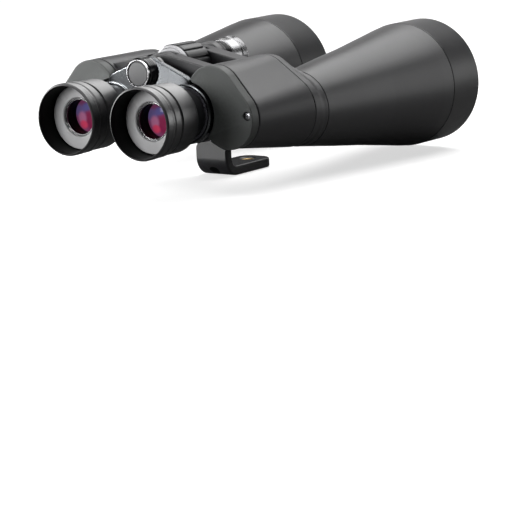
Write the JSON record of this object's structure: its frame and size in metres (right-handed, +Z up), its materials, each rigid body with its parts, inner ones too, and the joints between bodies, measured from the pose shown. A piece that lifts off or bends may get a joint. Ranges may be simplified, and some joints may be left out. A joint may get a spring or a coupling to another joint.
{
  "type": "astronomy binoculars",
  "caption": "Giant Porro-prism binoculars with long tapered objective barrels, deep eyecups, ribbed centre focus wheel, folding hinge and a bent tripod bracket clamped by a thumbscrew.",
  "frame": {"origin": "on the underside of the tripod bracket's foot, on the centre line, between the bend and the threaded hole", "axes": "+Y is the way the user looks, along the barrels towards the objectives; +X is the user's right; +Z is up"},
  "size_m": [0.2056, 0.2823, 0.0908],
  "materials": {
    "armour_black": "satin black baked coating",
    "body_grey": "satin charcoal enamel",
    "cover_grey": "smooth satin grey-green enamel",
    "gloss_black": "gloss black enamel",
    "rubber_black": "matte black rubber",
    "washer_grey": "matte mid grey",
    "cap_grey": "matte dark grey",
    "bright_nickel": "bright nickel plate",
    "steel": "turned steel",
    "brass": "turned brass",
    "black_anodised": "black anodised",
    "coated_lens": "polished glass with magenta anti-reflection coating",
    "optical_glass": "polished optical glass"
  },
  "bodies": {
    "frame": {"hinge_tube": "steel", "tripod_bracket": "black_anodised", "tripod_bushing": "brass", "thumbscrew_collar": "gloss_black"},
    "right_half": {"right_prism_housing": "body_grey", "right_rear_cover": "cover_grey", "right_cover_screw": "steel", "right_front_cover": "body_grey", "right_objective_barrel": "armour_black", "right_dew_hood": "armour_black", "right_objective_cell": "black_anodised", "right_objective_flint": "optical_glass", "right_objective_crown": "coated_lens", "right_objective_retainer": "black_anodised", "right_rear_prism": "optical_glass", "right_front_prism": "optical_glass", "right_prism_plate": "black_anodised"},
    "left_half": {"left_prism_housing": "body_grey", "left_rear_cover": "cover_grey", "left_cover_screw": "steel", "left_front_cover": "body_grey", "left_objective_barrel": "armour_black", "left_dew_hood": "armour_black", "left_objective_cell": "black_anodised", "left_objective_flint": "optical_glass", "left_objective_crown": "coated_lens", "left_objective_retainer": "black_anodised", "left_rear_prism": "optical_glass", "left_front_prism": "optical_glass", "left_prism_plate": "black_anodised"},
    "right_eyepiece": {"right_eyepiece_tube": "black_anodised", "right_bridge_arm": "gloss_black"},
    "left_eyepiece": {"left_eyepiece_tube": "black_anodised", "left_bridge_arm": "gloss_black", "left_ocular_ring": "armour_black", "left_ocular_cell": "black_anodised", "left_eyecup": "rubber_black", "left_eyecup_washer": "washer_grey", "left_eye_lens_ring": "bright_nickel", "left_eye_lens": "coated_lens", "left_field_lens": "optical_glass", "left_field_stop": "black_anodised"},
    "right_ocular": {"right_ocular_cell": "black_anodised", "right_eyecup": "rubber_black", "right_eyecup_washer": "washer_grey", "right_eye_lens_ring": "bright_nickel", "right_eye_lens": "coated_lens", "right_field_lens": "optical_glass", "right_field_stop": "black_anodised"},
    "dioptre_ring": {"right_dioptre_ring": "armour_black"},
    "focus_wheel": {"focus_wheel_core": "bright_nickel", "focus_wheel_grip": "rubber_black"},
    "focus_bridge": {"bridge_hub": "gloss_black", "bridge_cap": "cap_grey", "bridge_cap_bezel": "bright_nickel", "bridge_nut": "gloss_black", "focus_spindle": "steel", "focus_drive_pin": "steel"},
    "thumbscrew": {"bracket_thumbscrew": "bright_nickel"}
  },
  "joints": [
    {"name": "right_half_fold", "type": "hinge", "parent": "frame", "child": "right_half", "pos_m": [0, -0.03, 0.0762], "axis": [0, -1, 0], "range_deg": [0, 26]},
    {"name": "left_half_fold", "type": "hinge", "parent": "frame", "child": "left_half", "pos_m": [0, -0.03, 0.0762], "axis": [0, 1, 0], "range_deg": [0, 26]},
    {"name": "focus_wheel_turn", "type": "hinge", "parent": "frame", "child": "focus_wheel", "pos_m": [0, -0.05, 0.0762], "axis": [0, 1, 0], "range_deg": [-276, 126]},
    {"name": "focus_bridge_slide", "type": "slide", "parent": "frame", "child": "focus_bridge", "axis": [0, 1, 0], "range_m": [-0.0055, 0.0025]},
    {"name": "right_eyepiece_slide", "type": "slide", "parent": "right_half", "child": "right_eyepiece", "axis": [0, 1, 0], "range_m": [-0.0056, 0.0026]},
    {"name": "left_eyepiece_slide", "type": "slide", "parent": "left_half", "child": "left_eyepiece", "axis": [0, 1, 0], "range_m": [-0.0056, 0.0026]},
    {"name": "right_ocular_slide", "type": "slide", "parent": "right_eyepiece", "child": "right_ocular", "axis": [0, 1, 0], "range_m": [-0.0015, 0.0015]},
    {"name": "dioptre_turn", "type": "hinge", "parent": "right_ocular", "child": "dioptre_ring", "pos_m": [0.02874, -0.11, 0.0508], "axis": [0, 1, 0], "range_deg": [-76, 76]},
    {"name": "thumbscrew_turn", "type": "hinge", "parent": "frame", "child": "thumbscrew", "pos_m": [0, 0, 0.0762], "axis": [0, 1, 0], "continuous": true}
  ],
  "couplings": [
    {"joint": "focus_wheel_turn", "follows": "focus_bridge_slide", "rad_per_m": 872.66},
    {"joint": "right_eyepiece_slide", "follows": "focus_bridge_slide", "ratio": 1},
    {"joint": "left_eyepiece_slide", "follows": "focus_bridge_slide", "ratio": 1},
    {"joint": "dioptre_turn", "follows": "right_ocular_slide", "rad_per_m": 872.66}
  ]
}
